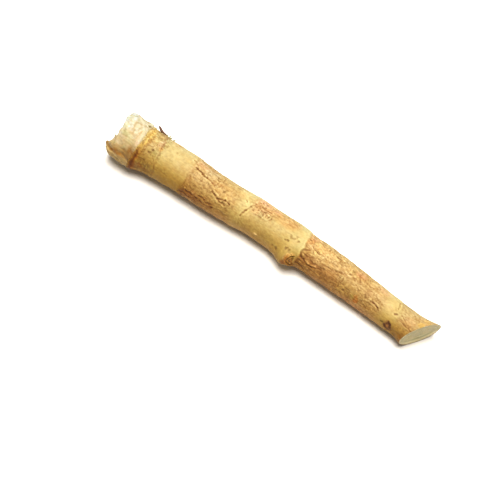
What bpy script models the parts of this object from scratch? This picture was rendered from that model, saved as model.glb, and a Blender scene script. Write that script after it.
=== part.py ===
"""A fresh horseradish root, cut at both ends and lying on its side.

The root grew as one piece, so it is one solid: a tapering body with rings, bumps and a knot,
a slanted cut at the thin end, a stub where a side root was cut off, and a crown of leaf bases
that were cut short at the thick end. X runs along the root from the crown to the slanted cut,
Y is across it and Z is up. It rests on small flat spots at z = 0.
"""

import math
import random

import bmesh
import bpy
from mathutils import Vector, noise

NAME = "horseradish_root"
MM = 0.001

# The middle line and thickness of the body, in millimetres: x, y, z, radius.
SPINE = (
    (-140.0, -1.0, 18.6, 15.8),
    (-132.0, -1.0, 18.6, 17.4),
    (-120.0, -0.6, 18.4, 18.2),
    (-107.0, 1.2, 17.2, 16.9),
    (-80.0, 2.3, 16.4, 15.9),
    (-47.0, 2.2, 15.6, 15.0),
    (-16.0, 4.0, 15.1, 14.6),
    (15.0, 4.3, 14.2, 14.4),
    (46.0, 3.8, 14.1, 13.6),
    (90.0, 2.3, 13.0, 12.4),
    (119.0, 0.1, 12.7, 11.9),
    (130.0, -1.0, 13.3, 11.7),
    (150.0, -1.8, 14.0, 11.7),
)
CROWN_END = -139.0
CUT_END = 137.3

# The rings of the root bend towards the cut on its front, whose middle is at this angle from
# +Y through +Z. A distance "along the rings" is x less this bend.
FRONT = math.radians(110)
BEND = 7.0

# The slanted cut: how far it turns from square across the root, how far its top leans in,
# the length over which the body's rings turn to meet it, and how the root flares at it.
CUT_TURN = math.radians(34.5)
CUT_LEAN = math.radians(1)
CUT_BLEND = 45.0
FLARE = 1.9
FLARE_LENGTH = 7.0

# How finely the body is divided.
AROUND = 44
ALONG = 92

# Old leaf scars that ring the body: distance along the rings, how far the ring leans towards
# the cut on the -Y side, how high it stands, and how soon it falls away on each side. A ring
# wanders a little from its line.
RINGS = (
    (-121.3, 1.2, 1.0, 1.8, 3.0),
    (-105.6, 2.8, 0.5, 3.0, 2.5),
    (-77.0, 2.0, 0.3, 3.0, 4.0),
    (-25.2, -4.7, 0.5, 3.0, 9.0),
    (25.6, 0.5, 1.0, 12.0, 2.6),
    (109.5, 0.4, 0.3, 8.0, 2.5),
)
RING_WANDER = 0.8
RING_WANDERS_ROUND = 1.7

# Unevenness of the body and of its bark: how long a bump is, how high.
LUMPS = ((26.0, 0.55), (9.0, 0.35))

# The stub of a side root that was cut off at the knot, and the mound of bark that it grew from.
STUB_X = 25.5
STUB_ANGLE = math.radians(176)
STUB_LEAN = math.radians(32)
STUB_BASE = 8.5
STUB_TIP = 5.2
STUB_LENGTH = 13.0
STUB_REACH = 0.8
STUB_SIDES = 20
MOUND_HEIGHT = 1.2
MOUND_WIDTH = 8.0

# Leaf bases of the crown: angle of the middle and half the angle that one wraps, in degrees,
# its cut end along the rings, how much further it reaches at its far edge than at its middle,
# how far it stands out from the crown's round, and its thickness.
LEAVES = (
    (72, 60, -142.2, 0.8, 0.0, 2.6),
    (156, 32, -146.0, -2.0, -0.6, 2.4),
    (206, 32, -144.2, 0.5, 0.2, 2.2),
    (252, 34, -143.5, 0.0, -0.7, 2.4),
    (302, 38, -143.5, 0.0, 0.0, 2.6),
    (350, 34, -142.0, 0.0, -0.8, 2.2),
    (30, 60, -141.8, 0.5, -5.2, 2.2),
    (150, 62, -143.5, 1.0, -5.4, 2.2),
    (265, 64, -142.5, 0.0, -5.2, 2.2),
)
LEAF_ROOT = -119.0
LEAF_ROWS = 8
LEAF_COLUMNS = 7

# How far the crown's end leans back on the front, how ragged a leaf base's end is, how deep its
# inside is sunk at the root, how it thins and drops towards its side edges, and how it ripples.
CROWN_LEAN = 2.5
LEAF_RAGGED = 1.3
LEAF_SUNK = 4.0
LEAF_THINS = 0.45
LEAF_DROPS = 0.6
LEAF_RIPPLE = 0.4
RIPPLES_ACROSS = 7.0
RIPPLES_ALONG = 9.0

# The round that the leaf bases follow: distance along the rings, radius.
CROWN_ROUND = ((-151.0, 14.0), (-145.5, 17.0), (-140.5, 19.2), (-130.0, 19.3), (-119.0, 15.8))
CROWN_Y = -1.0
CROWN_Z = 18.6

# A dry scale that stands off the bark beside the crown, and narrows towards its tip.
SCALE_ROOT = -104.5
SCALE_TIP = -116.5
SCALE_ANGLE = 24
SCALE_HALF_ANGLE = 5.5
SCALE_SUNK = 1.5
SCALE_LIFT = 2.9
SCALE_THICKNESS = 1.1
SCALE_NARROWS = 0.7
SCALE_ROWS = 6
SCALE_COLUMNS = 2

SKIN_COLOUR = (0.62, 0.40, 0.16, 1)
SKIN_ROUGHNESS = 0.65


def slope(stations, index, column):
    """How fast a column of the stations changes with x at one of them."""
    before = stations[max(index - 1, 0)]
    after = stations[min(index + 1, len(stations) - 1)]
    return (after[column] - before[column]) / (after[0] - before[0])


def follow(stations, x, column):
    """A column's value at x, on a smooth cubic through the stations, which are in order of x."""
    index = max(i for i in range(len(stations) - 1) if i == 0 or stations[i][0] <= x)
    low, high = stations[index], stations[index + 1]
    span = high[0] - low[0]
    t = (x - low[0]) / span
    bend_low = slope(stations, index, column) * span * (t**3 - 2 * t**2 + t)
    bend_high = slope(stations, index + 1, column) * span * (t**3 - t**2)
    return low[column] + (high[column] - low[column]) * smooth_step(t) + bend_low + bend_high


def smooth_step(t):
    t = min(max(t, 0), 1)
    return 3 * t**2 - 2 * t**3


def bend(angle):
    """How far the rings bend towards the cut at an angle round the root."""
    return BEND * ((1 + math.cos(angle - FRONT)) / 2) ** 1.5


def ring_height(along, angle):
    """How far the leaf scars raise the bark at a point."""
    height = 0
    for at, lean, tall, before, after in RINGS:
        round_y = RING_WANDERS_ROUND * math.cos(angle)
        round_z = RING_WANDERS_ROUND * math.sin(angle)
        wander = RING_WANDER * noise.noise(Vector((at, round_y, round_z)))
        gap = along - at - lean * math.sin(angle - FRONT) - wander
        width = before if gap < 0 else after
        height += tall * math.exp(-((gap / width) ** 2))
    return height


def mound_height(x, angle, radius):
    """How far the bark swells round the side root's stub."""
    aside = math.remainder(angle - STUB_ANGLE, math.tau) * radius
    return MOUND_HEIGHT * math.exp(-((x - STUB_X) ** 2 + aside**2) / MOUND_WIDTH**2)


def lump_height(x, angle, radius):
    """The unevenness of the bark at a point."""
    spot = Vector((x, radius * math.cos(angle), radius * math.sin(angle)))
    return sum(tall * noise.noise(spot / length) for length, tall in LUMPS)


def body_point(along, angle):
    """A point of the body's surface. Near the slanted cut its rings turn to meet the cut."""
    turned = smooth_step((along - CUT_END + CUT_BLEND) / CUT_BLEND)
    flare = FLARE * math.exp((along - CUT_END) / FLARE_LENGTH)
    slant = (follow(SPINE, CUT_END, 3) + FLARE) * math.cos(angle) * math.tan(CUT_TURN)
    x = along + (1 - turned) * bend(angle) + turned * slant
    radius = follow(SPINE, x, 3) + flare
    radius += ring_height(x - bend(angle), angle) + lump_height(x, angle, radius)
    radius += mound_height(x, angle, radius)
    y = follow(SPINE, x, 1) + radius * math.cos(angle)
    z = follow(SPINE, x, 2) + radius * math.sin(angle)
    aside = (y - follow(SPINE, CUT_END, 1)) * math.tan(CUT_TURN)
    above = (z - follow(SPINE, CUT_END, 2)) * math.tan(CUT_LEAN)
    x = along + (1 - turned) * bend(angle) + turned * (aside - above)
    return Vector((x, y, z))


def crown_point(along, degrees, out):
    """A point that stands out from the round of the leaf bases by that much."""
    radius = follow(CROWN_ROUND, along, 1) + out
    angle = math.radians(degrees)
    across = Vector((0, CROWN_Y + radius * math.cos(angle), CROWN_Z + radius * math.sin(angle)))
    return across + Vector((along + bend(angle), 0, 0))


def new_collection(name):
    collection = bpy.data.collections.new(name)
    bpy.context.scene.collection.children.link(collection)
    return collection


def new_object(name, shape, collection):
    """Turns a bmesh into an object whose faces point outwards."""
    shape.normal_update()
    bmesh.ops.recalc_face_normals(shape, faces=shape.faces)
    mesh = bpy.data.meshes.new(name)
    shape.to_mesh(mesh)
    shape.free()
    made = bpy.data.objects.new(name, mesh)
    collection.objects.link(made)
    return made


def make_body(collection):
    """A cylinder that is cut lengthwise into rings, whose points then move to the root's surface."""
    shape = bmesh.new()
    bmesh.ops.create_cone(shape, cap_ends=True, segments=AROUND, radius1=1, radius2=1, depth=1)
    lengthwise = [edge for edge in shape.edges if edge.verts[0].co.z != edge.verts[1].co.z]
    bmesh.ops.subdivide_edges(shape, edges=lengthwise, cuts=ALONG - 1)
    for vertex in shape.verts:
        along = CROWN_END + (vertex.co.z + 0.5) * (CUT_END - CROWN_END)
        angle = math.atan2(vertex.co.y, vertex.co.x)
        vertex.co = body_point(along, angle) * MM
    return new_object(NAME, shape, collection)


def make_blade(name, rows, columns, point, collection):
    """A block that is divided into a thin grid, whose points then move to where point() puts them.

    point() takes the share of the length, the share of the breadth and -1 or 1 for the inside
    or the outside.
    """
    shape = bmesh.new()
    bmesh.ops.create_cube(shape, size=2)
    for axis, cuts in ((0, rows - 1), (1, columns - 1)):
        across = [e for e in shape.edges if e.verts[0].co[axis] != e.verts[1].co[axis]]
        bmesh.ops.subdivide_edges(shape, edges=across, cuts=cuts)
    for vertex in shape.verts:
        length, breadth, side = vertex.co
        vertex.co = point((length + 1) / 2, breadth, side) * MM
    return new_object(name, shape, collection)


def make_leaf(index, collection):
    """The base of one leaf stalk: an arched plate that comes free of the crown at its ragged end."""
    middle, half_angle, end, skew, out, thickness = LEAVES[index]
    draw = random.Random(index)
    ragged = [draw.uniform(-LEAF_RAGGED, LEAF_RAGGED) for _ in range(LEAF_COLUMNS + 1)]

    def point(length, breadth, side):
        column = round((breadth + 1) / 2 * LEAF_COLUMNS)
        degrees = middle + half_angle * breadth
        lean = CROWN_LEAN * math.cos(math.radians(degrees) - FRONT)
        reach = end + skew * breadth + lean + ragged[column] * length - LEAF_ROOT
        along = LEAF_ROOT + reach * length
        ripple = LEAF_RIPPLE * math.sin(RIPPLES_ACROSS * breadth + RIPPLES_ALONG * length + index)
        height = out + ripple - LEAF_DROPS * breadth**2
        if side < 0:
            height -= thickness * (1 - LEAF_THINS * breadth**2) + LEAF_SUNK * (1 - length)
        return crown_point(along, degrees, height)

    return make_blade(f"leaf_base_{index + 1}", LEAF_ROWS, LEAF_COLUMNS, point, collection)


def make_scale(collection):
    """A narrow dry scale that curls up off the bark towards the crown."""

    def point(length, breadth, side):
        x = SCALE_ROOT + (SCALE_TIP - SCALE_ROOT) * length
        angle = math.radians(SCALE_ANGLE + SCALE_HALF_ANGLE * breadth * (1 - SCALE_NARROWS * length))
        radius = follow(SPINE, x, 3) - SCALE_SUNK + (SCALE_SUNK + SCALE_LIFT) * length**1.4
        radius += side * SCALE_THICKNESS / 2
        y = follow(SPINE, x, 1) + radius * math.cos(angle)
        return Vector((x, y, follow(SPINE, x, 2) + radius * math.sin(angle)))

    return make_blade("dry_scale", SCALE_ROWS, SCALE_COLUMNS, point, collection)


def make_stub(collection):
    """The stump of a side root: a short cone that leans towards the slanted cut, sunk in the body."""
    shape = bmesh.new()
    bmesh.ops.create_cone(
        shape,
        cap_ends=True,
        segments=STUB_SIDES,
        radius1=STUB_BASE * MM,
        radius2=STUB_TIP * MM,
        depth=STUB_LENGTH * MM,
    )
    outwards = Vector((0, math.cos(STUB_ANGLE), math.sin(STUB_ANGLE)))
    points_to = outwards * math.cos(STUB_LEAN) + Vector((1, 0, 0)) * math.sin(STUB_LEAN)
    middle = Vector((STUB_X, follow(SPINE, STUB_X, 1), follow(SPINE, STUB_X, 2)))
    tip = middle + outwards * (follow(SPINE, STUB_X, 3) + STUB_REACH)
    centre = tip - points_to * STUB_LENGTH / 2
    turn = points_to.to_track_quat("Z", "Y").to_matrix()
    for vertex in shape.verts:
        vertex.co = turn @ vertex.co + centre * MM
    return new_object("side_root_stub", shape, collection)


def grow_together(root, pieces):
    """Joins the collection's objects to the root in one solid, and removes them."""
    join = root.modifiers.new("grow together", "BOOLEAN")
    join.operation = "UNION"
    join.operand_type = "COLLECTION"
    join.collection = pieces
    join.solver = "MANIFOLD"
    graph = bpy.context.evaluated_depsgraph_get()
    joined = bpy.data.meshes.new_from_object(root.evaluated_get(graph))
    root.modifiers.clear()
    root.data = joined
    for piece in list(pieces.objects):
        bpy.data.objects.remove(piece)
    bpy.data.collections.remove(pieces)


def rest_on_floor(root):
    """Flattens what would reach below the floor, which leaves the small spots that it lies on."""
    for vertex in root.data.vertices:
        vertex.co.z = max(vertex.co.z, 0)


def make_skin():
    skin = bpy.data.materials.new("root skin")
    skin.use_nodes = True
    shader = skin.node_tree.nodes["Principled BSDF"]
    shader.inputs["Base Color"].default_value = SKIN_COLOUR
    shader.inputs["Roughness"].default_value = SKIN_ROUGHNESS
    shader.inputs["Metallic"].default_value = 0
    return skin


def main():
    for old in list(bpy.data.objects):
        bpy.data.objects.remove(old)
    root = make_body(new_collection("horseradish"))
    pieces = new_collection("joined to the body")
    for index in range(len(LEAVES)):
        make_leaf(index, pieces)
    make_scale(pieces)
    make_stub(pieces)
    grow_together(root, pieces)
    rest_on_floor(root)
    root.data.materials.clear()
    root.data.materials.append(make_skin())
    root.data.shade_smooth()
    root.data.set_sharp_from_angle(angle=math.radians(35))


main()
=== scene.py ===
"""Looks of a fresh horseradish root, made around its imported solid.

The skin, the cut leaf bases of the crown, the slanted cut and the stub of a side root are fine
meshes from the same formulas as the solid, with the bark's relief added. Sizes are in
millimetres, x runs along the root and degrees run round it from +Y through +Z.
"""

import math
import random

import bmesh
import bpy
import numpy as np
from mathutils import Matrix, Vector, noise


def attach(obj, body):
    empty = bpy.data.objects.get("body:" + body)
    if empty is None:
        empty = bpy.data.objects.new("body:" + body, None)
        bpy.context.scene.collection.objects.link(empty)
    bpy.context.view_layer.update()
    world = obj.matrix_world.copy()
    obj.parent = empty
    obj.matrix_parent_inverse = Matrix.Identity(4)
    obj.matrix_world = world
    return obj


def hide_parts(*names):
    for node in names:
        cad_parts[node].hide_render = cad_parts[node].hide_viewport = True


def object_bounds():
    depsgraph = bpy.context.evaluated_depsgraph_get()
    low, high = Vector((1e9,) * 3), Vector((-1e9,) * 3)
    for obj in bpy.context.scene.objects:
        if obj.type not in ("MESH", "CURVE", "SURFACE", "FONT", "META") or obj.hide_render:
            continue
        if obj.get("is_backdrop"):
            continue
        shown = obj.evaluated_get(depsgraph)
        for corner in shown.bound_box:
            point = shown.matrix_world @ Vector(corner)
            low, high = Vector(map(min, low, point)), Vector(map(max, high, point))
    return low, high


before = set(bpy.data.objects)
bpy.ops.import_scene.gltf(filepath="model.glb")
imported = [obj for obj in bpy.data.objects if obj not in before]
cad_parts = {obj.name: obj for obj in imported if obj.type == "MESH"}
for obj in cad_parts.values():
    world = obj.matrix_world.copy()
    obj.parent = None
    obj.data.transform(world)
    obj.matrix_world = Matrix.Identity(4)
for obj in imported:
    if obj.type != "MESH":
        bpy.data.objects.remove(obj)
CAD_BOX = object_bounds()

NODE = "horseradish_root"
MM = 0.001
MM_PER_DEGREE = 0.25
MEAN_RADIUS = 14

# The body, as in the solid: x, y, z and radius along its middle line.
SPINE = (
    (-140, -1, 18.6, 15.8), (-132, -1, 18.6, 17.4), (-120, -0.6, 18.4, 18.2), (-107, 1.2, 17.2, 16.9),
    (-80, 2.3, 16.4, 15.9), (-47, 2.2, 15.6, 15), (-16, 4, 15.1, 14.6), (15, 4.3, 14.2, 14.4),
    (46, 3.8, 14.1, 13.6), (90, 2.3, 13, 12.4), (119, 0.1, 12.7, 11.9), (130, -1, 13.3, 11.7),
    (150, -1.8, 14, 11.7),
)
CROWN_END = -139
CUT_END = 137.3
FRONT = math.radians(110)
BEND = 7
CUT_TURN = math.radians(34.5)
CUT_LEAN = math.radians(1)
CUT_BLEND = 45
FLARE = 1.9
FLARE_LENGTH = 7

# Old leaf scars that ring the body: distance along the rings, lean, height, and half length
# before and after.
RINGS = (
    (-121.3, -0.6, 1, 1.8, 3), (-105.6, 2.8, 0.5, 3, 2.5), (-77, 2, 0.3, 3, 4),
    (-25.2, -4.7, 0.5, 3, 9), (25.6, 0.5, 1, 12, 2.6), (109.5, 0.4, 0.3, 8, 2.5),
)
KNOT_RING = 4
RING_WANDER = 0.8
RING_WANDERS_ROUND = 1.7
LUMPS = ((26, 0.55), (9, 0.35))

# The stub's cut: x, degrees and distance of its middle, radius, and the way that it faces.
STUB_X = 25.5
STUB_PLACE = (30.2, 158, 16.5)
STUB_TIP = 5.4
STUB_ANGLE = math.radians(151)
STUB_LEAN = math.radians(54)
STUB_BASE = 6.2
STUB_LENGTH = 7

# Swellings round it: x, degrees, height, half length before and after, half width.
MOUNDS = ((21.5, 184, 3, 8, 6, 9.5), (24.4, 160, 3, 7.5, 4.5, 7))

# The crown's middle, and its radius by distance along the rings, down to the crease under it.
CROWN_Y = -1
CROWN_Z = 18.6
CROWN_LEAN = 2.5
CROWN_ROUND = (
    (-151, 14), (-145.5, 17), (-140.5, 19.2), (-130, 19.3), (-125, 19.1), (-122.6, 18.6), (-121, 16.6),
)

# Leaf bases, as in the solid: middle and half angle in degrees, cut end, skew, standing out, thickness.
LEAVES = (
    (85, 74, -143.6, 1.2, 0, 2.6), (150, 30, -146.2, -0.6, -0.6, 2.4),
    (206, 32, -144.2, 0.5, -1.2, 2.2), (252, 34, -143.5, 0, -0.7, 2.4), (302, 38, -143.5, 0, 0, 2.6),
    (350, 34, -142, 0, -0.8, 2.2), (30, 60, -141.8, 0.5, -5.2, 2.2), (150, 62, -143.5, 1, -5.4, 2.2),
    (265, 64, -142.5, 0, -5.2, 2.2), (194, 31, -140.5, 1, -0.9, 1), (206, 29, -134.5, 2, -0.5, 0.8),
)
INNER_LEAVES = (6, 7, 8)
LEAF_ROOT = 1.2
LEAF_TIPS = ((1, 160, 6.5, 2.8), (0, 60, 9, 1), (0, 104, 8, 0.8))
TOP_BULGE = 1.1
TOP_BULGE_DEGREES = 20
LEAF_TEARS = 7
LEAF_RAGGED = 1.3
LEAF_SUNK = 4
LEAF_THINS = 0.45
LEAF_DROPS = 0.6
LEAF_RIPPLE = 0.4
RIPPLES_ACROSS = 7
RIPPLES_ALONG = 9
INSIDE_TINT = (0.96, 0.97, 0.86)

# Marks on the leaf bases, like those on the bark below.
CROWN_PATCHES = (
    (-129, 103, 3.5, 2, (144, 142, 98), 0.5), (-122, 112, 5, 2.5, (148, 144, 102), 0.45),
    (-117, 131, 2.5, 1.8, (134, 120, 104), 0.6), (-119.4, 47, 1.1, 1.4, (112, 94, 52), 0.95),
    (-132.6, 31, 1.6, 2, (150, 114, 56), 0.6), (-126, 145, 9, 3, (146, 118, 74), 0.5),
    (-120, 150, 5, 4, (126, 94, 48), 0.5), (-141.5, 153, 2.5, 2.5, (120, 88, 40), 0.8),
    (-135.5, 64, 2.2, 2, (156, 160, 138), 0.6), (-128, 28, 3, 2, (146, 132, 76), 0.6),
    (-118, 92, 2.5, 7, (176, 156, 124), 0.4), (-117, 116, 4, 4, (148, 134, 104), 0.5),
    (-130, 31, 3, 2, (142, 128, 78), 0.7), (-122, 150, 6, 4, (140, 114, 62), 0.5),
    (-120, 119, 5, 4, (144, 126, 90), 0.55), (-116.5, 108, 1.6, 2.2, (182, 162, 136), 0.6),
    (-127, 157, 6, 2.5, (146, 112, 58), 0.6), (-122, 161, 6, 2.2, (142, 114, 68), 0.7),
)

# Colours of the leaf bases by x, and their raised edges with a painted highlight: width, height,
# strength, line.
CROWN_ZONES = (
    (-142, (172, 174, 168)), (-132, (172, 173, 165)), (-126, (163, 151, 124)), (-120, (167, 158, 133)),
    (-115, (158, 147, 118)), (-112, (154, 138, 102)),
)
CROWN_LIPS = (
    (0.9, 0.4, 0.7, -138, 166, -133, 170, -128, 175, -124, 178),
    (0.8, 0.15, 0.3, -129, 163, -122, 166, -116, 166),
)

# Creases of the leaf bases, brown and darkened with painted shade: width and depth in mm, darkness,
# colour, and line as x and degrees.
CROWN_CREASES = (
    (0.9, 0.3, 0.42, (136, 106, 62), -131, 50, -129.3, 58, -126.3, 81, -124.7, 96),
    (0.8, 0.3, 0.3, (136, 106, 62), -131, 98, -129, 108, -125, 108, -121, 104),
    (0.8, 0.2, 0.4, (140, 112, 66), -119.5, 82, -119, 92, -119.5, 100),
    (2, 0.5, 0.85, (142, 96, 32), -137, 158, -131.5, 160, -127, 158),
    (0.9, 0.3, 0.4, (120, 74, 22), -134, 159, -131.5, 160, -128, 158),
    (0.7, 0.25, 0.45, (124, 92, 46), -133, 177, -128, 181, -124, 184),
    (2.4, 0.3, 0.75, (116, 76, 26), -119, 131, -116.5, 138, -114.5, 148),
    (0.9, 0.3, 0.5, (110, 74, 34), -123, 152, -119, 156, -115, 156),
    (0.9, 0.3, 0.4, (120, 84, 40), -124, 140, -121, 144, -118, 150),
)

# The middle of the cut stalks inside the crown, and how far apart their rings are.
HEART_Y = 0.5
HEART_Z = 17.6
HEART_RING = 3.4

# Rings inside the cut's rim: depth and width in mm, strength, colour.
CUT_RINGS = (
    (3.4, 0.6, 0.8, (186, 178, 136)),
    (2.4, 0.5, 0.8, (132, 130, 92)),
    (1, 0.9, 0.9, (208, 198, 158)),
)

# Shreds: x, degrees, height, lean along the root, thickness in mm, and colour.
SHRED_SUNK = 0.6
SHREDS = (
    (-106.8, 23, 1.7, -0.8, 0.55, (138, 132, 92)), (-105.4, 20, 2.2, 0.4, 0.5, (150, 146, 112)),
    (-103.8, 22, 2, 1.6, 0.5, (128, 124, 84)), (-101, 22, 1, 1.4, 0.6, (122, 116, 70)),
    (-112.4, 24, 1, -1, 0.7, (176, 140, 70)), (-126.5, 22, 0.6, -2, 0.8, (158, 140, 92)),
    (-140.2, 170, 4.2, -2.6, 0.45, (150, 156, 146)),
)

# The dry scale: x of its root and tip, its way round, and heights over the bark in mm.
SCALE_ROOT = -104
SCALE_TIP = -116.5
SCALE_ANGLE = 24
SCALE_HALF_ANGLE = 5.5
SCALE_SUNK = 1.5
SCALE_LIFT = 2.9
SCALE_LOW = 0.5
SCALE_THICKNESS = 1.5
SCALE_NARROWS = 0.7

# How finely each piece is divided, along and around.
LEAF_ROWS, LEAF_COLUMNS = 56, 84
HEART_ROWS, CUT_ROWS = 40, 64
STUB_WALL_ROWS, STUB_CAP_ROWS, STUB_COLUMNS = 34, 26, 72
SCALE_ROWS, SCALE_COLUMNS = 40, 14
SHRED_ROWS, SHRED_COLUMNS = 12, 8
HIDDEN_ROWS = 14
ROWS = 452
COLUMNS = 204
SKIN_START = -124

# How rough the bark is, by distance along the rings.
ROUGHNESS = (
    (-124, 0.8), (-106, 0.65), (-102, 0.1), (-80, 0.1), (-74, 0.7), (-55, 0.75), (-40, 0.55),
    (-31, 0.25), (-20, 0.25), (-4, 0.2), (13, 0.12), (26.2, 0.08), (28, 0.85), (84, 0.8), (96, 0.55),
    (101, 0.12), (110, 0.12), (114, 0.5), (140, 0.55),
)

# Rough places on smooth bark: x, degrees, half length and half width in mm, roughness.
ROUGH_PATCHES = ((-7, 72, 12, 9, 0.95), (12, 52, 12, 6, 0.6))

# Colours of the bark, as sRGB from 0 to 255, by distance along the rings.
ZONES = (
    (-122, (153, 136, 89)), (-105, (153, 140, 93)), (-102, (162, 147, 102)), (-80, (162, 145, 101)),
    (-75, (155, 131, 86)), (-36, (156, 135, 89)), (-30, (165, 151, 105)), (-24, (164, 149, 103)),
    (-19, (160, 143, 98)), (12, (159, 142, 93)), (19, (162, 148, 102)), (26, (166, 153, 107)),
    (27.5, (161, 137, 88)), (50, (162, 138, 89)), (62, (157, 132, 84)), (84, (156, 131, 83)),
    (96, (158, 136, 93)), (102, (163, 146, 100)), (109, (163, 146, 98)), (114, (153, 134, 91)),
    (140, (155, 134, 91)),
)
DARK = (106, 68, 26)
BROWN = (124, 94, 54)
PALE = (176, 151, 110)
LIP = (184, 155, 120)
SPOT = (104, 80, 36)

# What the bark gains in red, green and blue: browner bark with painted shade on the low side, a painted
# reflection of the floor at the very bottom, painted light on top and on the upper side, painted shade
# in hollows, and richer colour in its grain.
LOW_SIDE_BROWN_AND_SHADE = (-0.13, -0.23, -0.53)
PAINTED_FLOOR_REFLECTION = (0.2, 0.14, 0.3)
PAINTED_TOP_LIGHT = (0.05, 0.055, 0.075)
PAINTED_UPPER_LIGHT = (0.03, 0.06, 0.12)
PAINTED_HOLLOW_SHADE = (-0.35, -0.5, -0.7)
RICHER = (0.8, 1.1, 1.5)
LOW_DEGREES = 205
TOP_DEGREES = 64
UPPER_DEGREES = 22

# The same for rusty mottling and for cracks in the materials.
RUSTY = (-0.03, -0.07, -0.15)
CRACKED = (-0.42, -0.54, -0.66)

# How much of that browning and painted shade the low side has, by distance along the rings.
LOW_BROWN_AND_SHADE_SHARES = (
    (-122, 0.9), (-76, 1), (-70, 0.7), (-36, 0.55), (-25, 0.6), (20, 0.68), (28, 0.75), (76, 0.5),
    (84, 0.3), (100, 0.6), (114, 1), (140, 1),
)

# The fine dark line past each old leaf scar: distance in mm past it, depth, darkness. Past the knot's
# step it is also painted shade under the step.
RING_LINES = (
    (1, 0.4, 0), (0.6, 0.25, 0.22), (0.9, 0.15, 0.2), (1, 0, 0), (1.9, 0.5, 0.4), (3, 0.12, 0.1),
)
KNOT_STEP_SHADE_DEGREES = 113

# Patches: x, degrees, half length, half width in mm, colour, strength.
PATCHES = (
    (-57, 66, 7, 4, (158, 142, 108), 0.7), (-8, 58, 10, 8, (182, 146, 106), 0.5),
    (-10, 52, 5, 3.5, (184, 142, 112), 0.5), (2, 52, 4, 3, (174, 134, 100), 0.5),
    (12, 62, 11, 7, (167, 132, 82), 0.6), (35, 74, 3, 3.4, (168, 122, 72), 0.6),
    (36, 52, 5, 4, (160, 118, 84), 0.5), (85.5, 150, 2.2, 4.4, (158, 100, 38), 0.7),
    (83, 146, 2, 2, (138, 132, 60), 0.4), (60, 155, 2, 3.4, (152, 98, 38), 0.5),
    (-99.5, 94, 1.8, 2.2, (172, 132, 72), 0.55), (-102, 80, 2.6, 3.2, (172, 150, 118), 0.7),
    (-113.8, 58, 2, 3.5, (174, 142, 94), 0.45), (-110.3, 95, 1.5, 3.4, (136, 106, 58), 0.7),
    (-110.8, 110, 1.3, 2.4, (136, 106, 58), 0.6), (-109.3, 163, 2.2, 2.2, (142, 98, 62), 0.5),
    (-102, 122, 3, 4, (150, 146, 92), 0.5), (-106, 128, 7, 6, (140, 112, 60), 0.3),
    (-66, 60, 5, 3, (174, 138, 104), 0.4), (80, 63, 5, 4, (176, 132, 96), 0.5),
    (100, 56, 5, 4, (176, 132, 96), 0.4), (113.8, 158, 3.6, 5.2, (110, 74, 50), 0.55),
    (112.2, 170, 1.3, 1.5, (84, 54, 36), 0.75), (111.2, 163, 1.2, 1.5, (78, 46, 34), 0.8),
    (113.6, 143, 1.2, 1.6, (84, 54, 36), 0.75), (115.2, 147, 1.5, 1.6, (72, 42, 32), 0.85),
    (116, 158, 1.2, 1.8, (84, 54, 36), 0.75), (114.4, 173, 1.4, 1.2, (80, 50, 38), 0.7),
    (112.8, 152, 1, 1.2, (82, 50, 38), 0.7), (113.8, 160, 0.9, 1.2, (168, 124, 98), 0.8),
    (136.6, 84, 3.2, 2.2, (176, 150, 80), 0.65), (138.4, 56, 2.6, 2.6, (176, 152, 86), 0.6),
    (-97, 38, 3, 1.5, (170, 122, 62), 0.6), (-93, 52, 1.5, 1.2, (146, 108, 60), 0.5),
    (-105.5, 40, 5, 2, (124, 88, 48), 0.7), (108.8, 155, 1.5, 1.2, (90, 78, 30), 0.7),
    (108, 93, 5, 4, (176, 156, 110), 0.25), (-27, 62, 4, 5, (182, 164, 116), 0.5),
    (48, 74, 9, 4, (176, 142, 90), 0.5), (91, 104, 4, 3.4, (138, 104, 60), 0.7),
    (126, 110, 8, 3, (146, 112, 66), 0.45), (45, 125, 9, 4, (142, 108, 72), 0.6),
    (37, 112, 3, 3.5, (130, 96, 46), 0.6), (36, 150, 5, 6, (126, 84, 38), 0.5),
    (55, 146, 14, 8, (144, 108, 70), 0.6), (60, 125, 10, 4, (142, 107, 66), 0.5),
    (-68, 168, 6, 4, (116, 74, 36), 0.5), (-60, 158, 8, 4, (120, 78, 38), 0.5),
    (-48, 152, 6, 5, (124, 82, 40), 0.5), (-40, 96, 8, 6, (176, 144, 88), 0.4),
    (131, 160, 7, 7, (142, 108, 62), 0.5), (128, 95, 5, 4, (172, 134, 92), 0.25),
    (-4, 158, 1.6, 0.8, (208, 202, 184), 0.9), (-13, 96, 4, 2.6, (168, 132, 88), 0.5),
    (25.6, 171, 2.8, 3, (128, 82, 26), 0.8), (-91.5, 42, 2.4, 0.9, (138, 90, 42), 0.8),
)

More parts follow.
